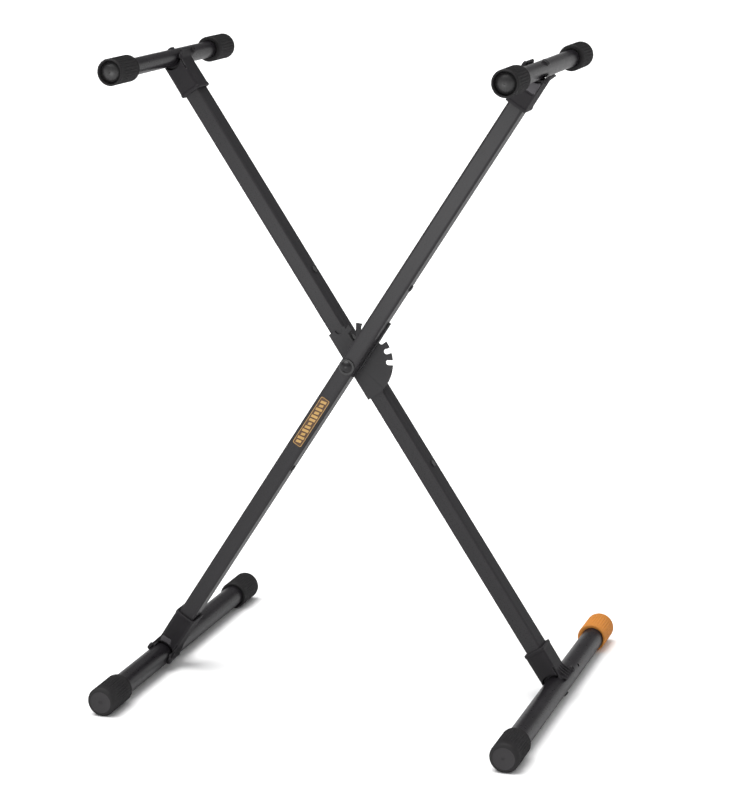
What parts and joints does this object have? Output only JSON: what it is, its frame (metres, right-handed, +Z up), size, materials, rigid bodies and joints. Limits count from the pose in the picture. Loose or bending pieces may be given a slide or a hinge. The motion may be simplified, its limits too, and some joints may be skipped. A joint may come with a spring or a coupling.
{
  "type": "folding keyboard stand",
  "caption": "Black X-shaped folding keyboard stand: crossed legs on one pivot, notched height lock, rubber-capped rest and foot bars, amber levelling cap.",
  "frame": {"origin": "on the floor, under the middle of the stand", "axes": "+Z up; X is the way the legs open; +Y runs along the bars, from the front of the stand to its back"},
  "size_m": [0.588, 0.536, 0.8475],
  "materials": {
    "tube_coat": "satin black powder coat",
    "bar_coat": "semi-gloss black powder coat",
    "bracket_coat": "satin black powder coat",
    "connector_nylon": "moulded black nylon, fine grain",
    "cap_rubber": "matte black rubber",
    "levelling_rubber": "matte amber rubber",
    "plug_plastic": "smooth black plastic",
    "bush_plastic": "natural acetal",
    "black_steel": "black oxide",
    "zinc_steel": "zinc plated",
    "pin_steel": "ground steel",
    "badge_gold": "gold on black"
  },
  "bodies": {
    "rear_leg": {"rear_leg_tube": "tube_coat", "rear_leg_liner": "zinc_steel", "rear_side_rivets": "black_steel", "rear_crush_sleeve": "zinc_steel", "rear_top_connector": "connector_nylon", "rear_top_bar": "bar_coat", "rear_top_plugs": "plug_plastic", "rear_top_cap_front": "cap_rubber", "rear_top_cap_back": "cap_rubber", "rear_foot_connector": "connector_nylon", "rear_foot_bar": "bar_coat", "rear_foot_cap": "cap_rubber", "levelling_plug": "plug_plastic", "rear_joint_bolts": "black_steel", "rear_joint_nuts": "black_steel", "rear_sleeve_screws": "black_steel", "ratchet_bracket": "bracket_coat", "bracket_rivets": "black_steel", "pivot_bolt": "black_steel", "pivot_washers": "black_steel", "pivot_nut": "zinc_steel"},
    "front_leg": {"front_leg_tube": "tube_coat", "front_leg_liner": "zinc_steel", "front_side_rivet": "black_steel", "front_pivot_bush": "bush_plastic", "front_top_connector": "connector_nylon", "front_top_bar": "bar_coat", "front_top_plugs": "plug_plastic", "front_top_cap_front": "cap_rubber", "front_top_cap_back": "cap_rubber", "front_foot_connector": "connector_nylon", "front_foot_bar": "bar_coat", "front_foot_cap_front": "cap_rubber", "front_foot_cap_back": "cap_rubber", "front_joint_bolts": "black_steel", "front_joint_nuts": "black_steel", "front_sleeve_screws": "black_steel", "spring_seat_pin": "black_steel", "catch_spring": "pin_steel", "badge": "badge_gold"},
    "catch": {"catch_plate": "bracket_coat", "lock_pin": "pin_steel", "catch_guide": "pin_steel"},
    "levelling_foot": {"levelling_cap": "levelling_rubber"}
  },
  "joints": [
    {"name": "legs_fold", "type": "hinge", "parent": "rear_leg", "child": "front_leg", "pos_m": [0, -0.017, 0.44219], "axis": [0, 1, 0], "range_deg": [-60, 55.5]},
    {"name": "catch_slide", "type": "slide", "parent": "front_leg", "child": "catch", "axis": [0.5446, 0, 0.8387], "range_m": [-0.01, 0], "deforming": ["catch_spring"]},
    {"name": "levelling_turn", "type": "hinge", "parent": "rear_leg", "child": "levelling_foot", "pos_m": [0.2745, 0.2, 0.0195], "axis": [0, 1, 0], "range_deg": [-90, 90]}
  ]
}
